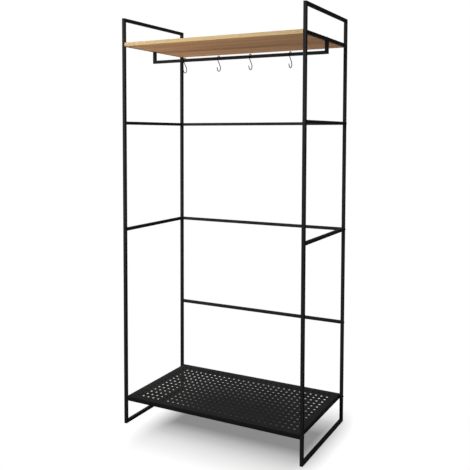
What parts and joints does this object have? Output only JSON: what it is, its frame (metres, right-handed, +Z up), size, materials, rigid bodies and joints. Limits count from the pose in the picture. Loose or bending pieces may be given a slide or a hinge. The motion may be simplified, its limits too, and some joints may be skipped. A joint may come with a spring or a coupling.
{
  "type": "open frame wardrobe",
  "caption": "Open frame wardrobe of black square steel tube with an oak top shelf, a hanging rail with sliding S-hooks and a perforated steel shelf near the floor.",
  "frame": {"origin": "on the floor, at mid width and mid depth", "axes": "+X to the right seen from the front, +Y to the rear, +Z up"},
  "size_m": [0.956, 0.55, 2],
  "materials": {
    "black_steel": "black powder coat, fine and matt",
    "black_sheet": "black powder coat, fine and matt",
    "oak": "oak, matt oil",
    "black_bolts": "black oxide",
    "zinc_steel": "zinc plate",
    "hook_wire": "dark satin wire"
  },
  "bodies": {
    "frame": {"left_front_upright": "black_steel", "left_rear_upright": "black_steel", "left_top_bar": "black_steel", "left_foot_bar": "black_steel", "left_shelf_bar": "black_steel", "left_upper_side_bar": "black_steel", "left_middle_side_bar": "black_steel", "right_front_upright": "black_steel", "right_rear_upright": "black_steel", "right_top_bar": "black_steel", "right_foot_bar": "black_steel", "right_shelf_bar": "black_steel", "right_upper_side_bar": "black_steel", "right_middle_side_bar": "black_steel", "upper_back_bar": "black_steel", "middle_back_bar": "black_steel", "lower_back_bar": "black_steel", "hanging_rail": "black_steel", "left_rail_leg": "black_steel", "right_rail_leg": "black_steel", "perforated_shelf": "black_sheet", "wooden_shelf": "oak", "back_bar_bolts": "black_bolts", "rail_bolts": "black_bolts", "tray_bolts": "black_bolts", "shelf_screws": "black_bolts", "back_bar_plugs": "zinc_steel", "rail_plugs": "zinc_steel", "tray_nuts": "zinc_steel"},
    "hook_one": {"s_hook_one": "hook_wire"},
    "hook_two": {"s_hook_two": "hook_wire"},
    "hook_three": {"s_hook_three": "hook_wire"},
    "hook_four": {"s_hook_four": "hook_wire"}
  },
  "joints": [
    {"name": "hook_one_slide", "type": "slide", "parent": "frame", "child": "hook_one", "axis": [1, 0, 0], "range_m": [-0.17, 0.095]},
    {"name": "hook_two_slide", "type": "slide", "parent": "frame", "child": "hook_two", "axis": [1, 0, 0], "range_m": [-0.095, 0.084]},
    {"name": "hook_three_slide", "type": "slide", "parent": "frame", "child": "hook_three", "axis": [1, 0, 0], "range_m": [-0.083, 0.101]},
    {"name": "hook_four_slide", "type": "slide", "parent": "frame", "child": "hook_four", "axis": [1, 0, 0], "range_m": [-0.101, 0.165]}
  ]
}
